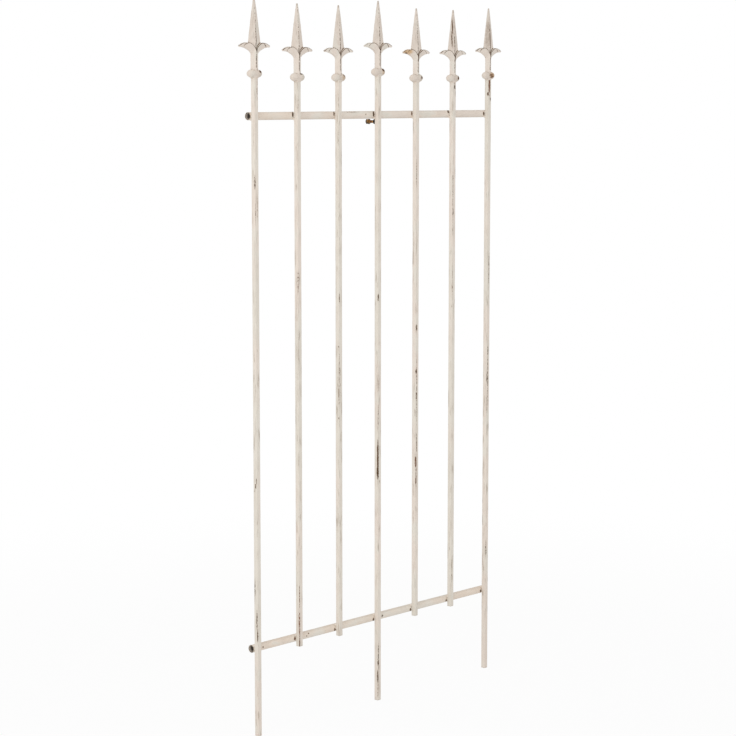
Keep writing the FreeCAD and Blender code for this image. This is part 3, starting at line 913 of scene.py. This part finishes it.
class ThreadBolt(bpy.types.Operator):
    """Models the clamp bolt with its low head and rolled thread"""

    bl_idname = "trellis.thread_bolt"
    bl_label = "Bolt"

    sides = 36
    steps_per_turn = 10
    head_steps = 6
    chamfer = 0.0007
    flank_slope = 1.25
    crest_flat = 0.12

    def execute(self, context):
        shape = context.scene.trellis_shape
        paint = context.scene.trellis_paint
        low, high = BOX_OF["stay_bolt"]
        head_radius = (high.x - low.x) / 2
        head_height = -BAR_HALF - low.y
        rings = []
        for step in range(1, self.head_steps + 1):
            turn = math.pi / 2 * step / self.head_steps
            back = head_height * (1 - math.cos(turn))
            rings.append(self.plain_ring(low.y + back, head_radius * math.sin(turn)))
        rings.append(self.plain_ring(-BAR_HALF, BOLT_RADIUS))
        rings.append(self.plain_ring(BAR_HALF, BOLT_RADIUS))
        steps = round((high.y - BAR_HALF) / shape.thread_pitch * self.steps_per_turn)
        for step in range(1, steps + 1):
            y = BAR_HALF + (high.y - BAR_HALF) * step / steps
            rings.append(self.thread_ring(y, high.y, shape))
        made = bmesh.new()
        add_loft(made, rings)
        add_piece(made, "stay_bolt_threaded", "frame", "rusted_steel",
                  steel_finish("rusted_bolt", paint, paint.iron, -0.12, -BAR_HALF), "stay_bolt", sharp=60.0)
        return {"FINISHED"}

    def plain_ring(self, y, radius):
        return turned(Vector((BOLT_AXIS.x, y, BOLT_AXIS.z)), radius, self.sides)

    def thread_ring(self, y, end, shape):
        points = []
        for side in range(self.sides):
            turn = 2 * math.pi * side / self.sides
            phase = (y / shape.thread_pitch + side / self.sides) % 1
            flank = min(max(abs(2 * phase - 1) * self.flank_slope - self.crest_flat, 0), 1)
            radius = min(BOLT_RADIUS - shape.thread_depth * flank,
                         BOLT_RADIUS - self.chamfer + (end - y))
            points.append(Vector((BOLT_AXIS.x + radius * math.cos(turn), y,
                                  BOLT_AXIS.z + radius * math.sin(turn))))
        return points


class CutNuts(bpy.types.Operator):
    """Models the jam nut and the clamp nut with chamfered corners"""

    bl_idname = "trellis.cut_nuts"
    bl_label = "Nuts"

    sides = 72
    countersink = 0.0004
    face_share = 0.96
    chamfer = math.radians(30)
    bodies = {"jam_nut": "frame", "clamp_nut": "clamp_nut"}

    def execute(self, context):
        paint = context.scene.trellis_paint
        # The jam nut's near-black scale is painted shadow over its dark rust
        scales = {"jam_nut": (paint.soot_and_shade, 0.2), "clamp_nut": (paint.olive, -0.03)}
        for nut, body in self.bodies.items():
            low, high = BOX_OF[nut]
            flats = (high.z - low.z) / 2
            rings = [self.section(turn, flats, low.y, high.y) for turn in even_turns(self.sides)]
            made = bmesh.new()
            add_loft(made, rings, wrap=True)
            add_piece(made, nut + "_hexagon", body, "rusted_steel",
                      steel_finish("rusted_" + nut, paint, *scales[nut]), nut, sharp=25.0)
        return {"FINISHED"}

    def section(self, turn, flats, front, back):
        """Outline of the nut's wall at one turn round the bolt."""
        corner = math.radians(60)
        outer = flats / math.cos(turn % corner - corner / 2)
        face = flats * self.face_share
        cut = (outer - face) * math.tan(self.chamfer)
        mouth = NUT_BORE + self.countersink
        outline = [(NUT_BORE, front + self.countersink), (mouth, front), (face, front),
                   (outer, front + cut), (outer, back - cut), (face, back), (mouth, back),
                   (NUT_BORE, back - self.countersink)]
        way = Vector((math.cos(turn), 0, math.sin(turn)))
        return [Vector((BOLT_AXIS.x, y, BOLT_AXIS.z)) + way * radius for radius, y in outline]


class CutWasher(bpy.types.Operator):
    """Models the clamp washer with the rounded edge of a punched disc"""

    bl_idname = "trellis.cut_washer"
    bl_label = "Washer"

    sides = 64
    edge = 0.0003

    def execute(self, context):
        paint = context.scene.trellis_paint
        low, high = BOX_OF["clamp_washer"]
        outer = (high.x - low.x) / 2
        burr = self.edge / 3
        outline = [(NUT_BORE, low.y), (outer - self.edge, low.y), (outer, low.y + self.edge),
                   (outer, high.y - burr), (outer - burr, high.y), (NUT_BORE, high.y)]
        rings = [turned(Vector((BOLT_AXIS.x, y, BOLT_AXIS.z)), radius, self.sides) for radius, y in outline]
        made = bmesh.new()
        add_loft(made, rings, wrap=True)
        add_piece(made, "clamp_washer_disc", "clamp_washer", "rusted_steel",
                  steel_finish("rusted_washer", paint, paint.iron, 0.06), "clamp_washer", sharp=25.0)
        return {"FINISHED"}


class SetStage(bpy.types.Operator):
    """Sets the white floor, the soft light and the camera"""

    bl_idname = "trellis.set_stage"
    bl_label = "Stage"

    def execute(self, context):
        stage = context.scene.trellis_stage
        context.scene.view_settings.view_transform = "Standard"
        self.lay_floor(stage)
        self.light_sky(context.scene, stage)
        self.hang_lamp(context.scene, stage)
        self.set_camera(context.scene, stage)
        return {"FINISHED"}

    def lay_floor(self, stage):
        finish = new_finish("white_floor")
        x, y = finish.axes(finish.place())[:2]
        away = (x * x + y * y).root().step(stage.shadow_near, stage.shadow_far)
        matt = finish.node("ShaderNodeBsdfDiffuse", None, {"Color": (*stage.floor, 1.0)})
        white = finish.node("ShaderNodeEmission", None, {"Color": WHITE, "Strength": 1.0})
        share = seen_directly(finish) * (1.0 - stage.shadow + away * stage.shadow)
        finish.output(finish.node("ShaderNodeMixShader", None, {0: share, 1: matt, 2: white}))
        made = bmesh.new()
        bmesh.ops.create_grid(made, x_segments=1, y_segments=1, size=stage.floor_size)
        mesh = bpy.data.meshes.new("floor")
        made.to_mesh(mesh)
        made.free()
        mesh.materials.append(finish.owner)
        floor = bpy.data.objects.new("floor", mesh)
        bpy.context.scene.collection.objects.link(floor)

    def light_sky(self, scene, stage):
        scene.world = bpy.data.worlds.new("white_sky")
        finish = Finish(scene.world)
        strength = stage.sky + (1.0 - stage.sky) * seen_directly(finish)
        sky = finish.node("ShaderNodeBackground", None, {"Color": WHITE, "Strength": strength})
        finish.output(sky, "ShaderNodeOutputWorld")

    def hang_lamp(self, scene, stage):
        lamp = bpy.data.lights.new("soft_lamp", "AREA")
        lamp.energy = stage.key
        lamp.size = stage.key_size
        hung = bpy.data.objects.new("soft_lamp", lamp)
        hung.location = stage.key_place
        towards = (cad_box[0] + cad_box[1]) / 2 - hung.location
        hung.rotation_euler = towards.to_track_quat("-Z", "Y").to_euler()
        scene.collection.objects.link(hung)

    def set_camera(self, scene, stage):
        camera = bpy.data.cameras.new("camera")
        camera.lens = stage.camera_lens
        camera.sensor_width = 36.0
        camera.clip_end = 100.0
        stood = bpy.data.objects.new("camera", camera)
        stood.location = stage.camera_place
        stood.rotation_euler = (math.pi / 2 - stage.camera_dip, 0, -stage.camera_turn)
        scene.collection.objects.link(stood)
        scene.camera = stood


OPERATORS = [DrawBars, CastFinials, DrawRails, LayRailWelds, LayFinialWelds, ThreadBolt, CutNuts,
             CutWasher, SetStage]


class TrellisPanel(bpy.types.Panel):
    """The steps of the trellis's finish, in order"""

    bl_idname = "TRELLIS_PT_finish"
    bl_label = "Trellis"
    bl_space_type = "VIEW_3D"
    bl_region_type = "UI"
    bl_category = "Trellis"

    def draw(self, context):
        for operator in OPERATORS:
            self.layout.operator(operator.bl_idname)


GROUPS = {"trellis_shape": TrellisShape, "trellis_paint": TrellisPaint, "trellis_stage": TrellisStage}


def register():
    for part in [*GROUPS.values(), *OPERATORS, TrellisPanel]:
        bpy.utils.register_class(part)
    for name, group in GROUPS.items():
        setattr(bpy.types.Scene, name, PointerProperty(type=group))


def unregister():
    for name in GROUPS:
        delattr(bpy.types.Scene, name)
    for part in [TrellisPanel, *reversed(OPERATORS), *reversed(GROUPS.values())]:
        bpy.utils.unregister_class(part)


def main():
    register()
    for operator in OPERATORS:
        step = operator.bl_idname.split(".")[1]
        getattr(bpy.ops.trellis, step)()


if __name__ == "__main__":
    main()
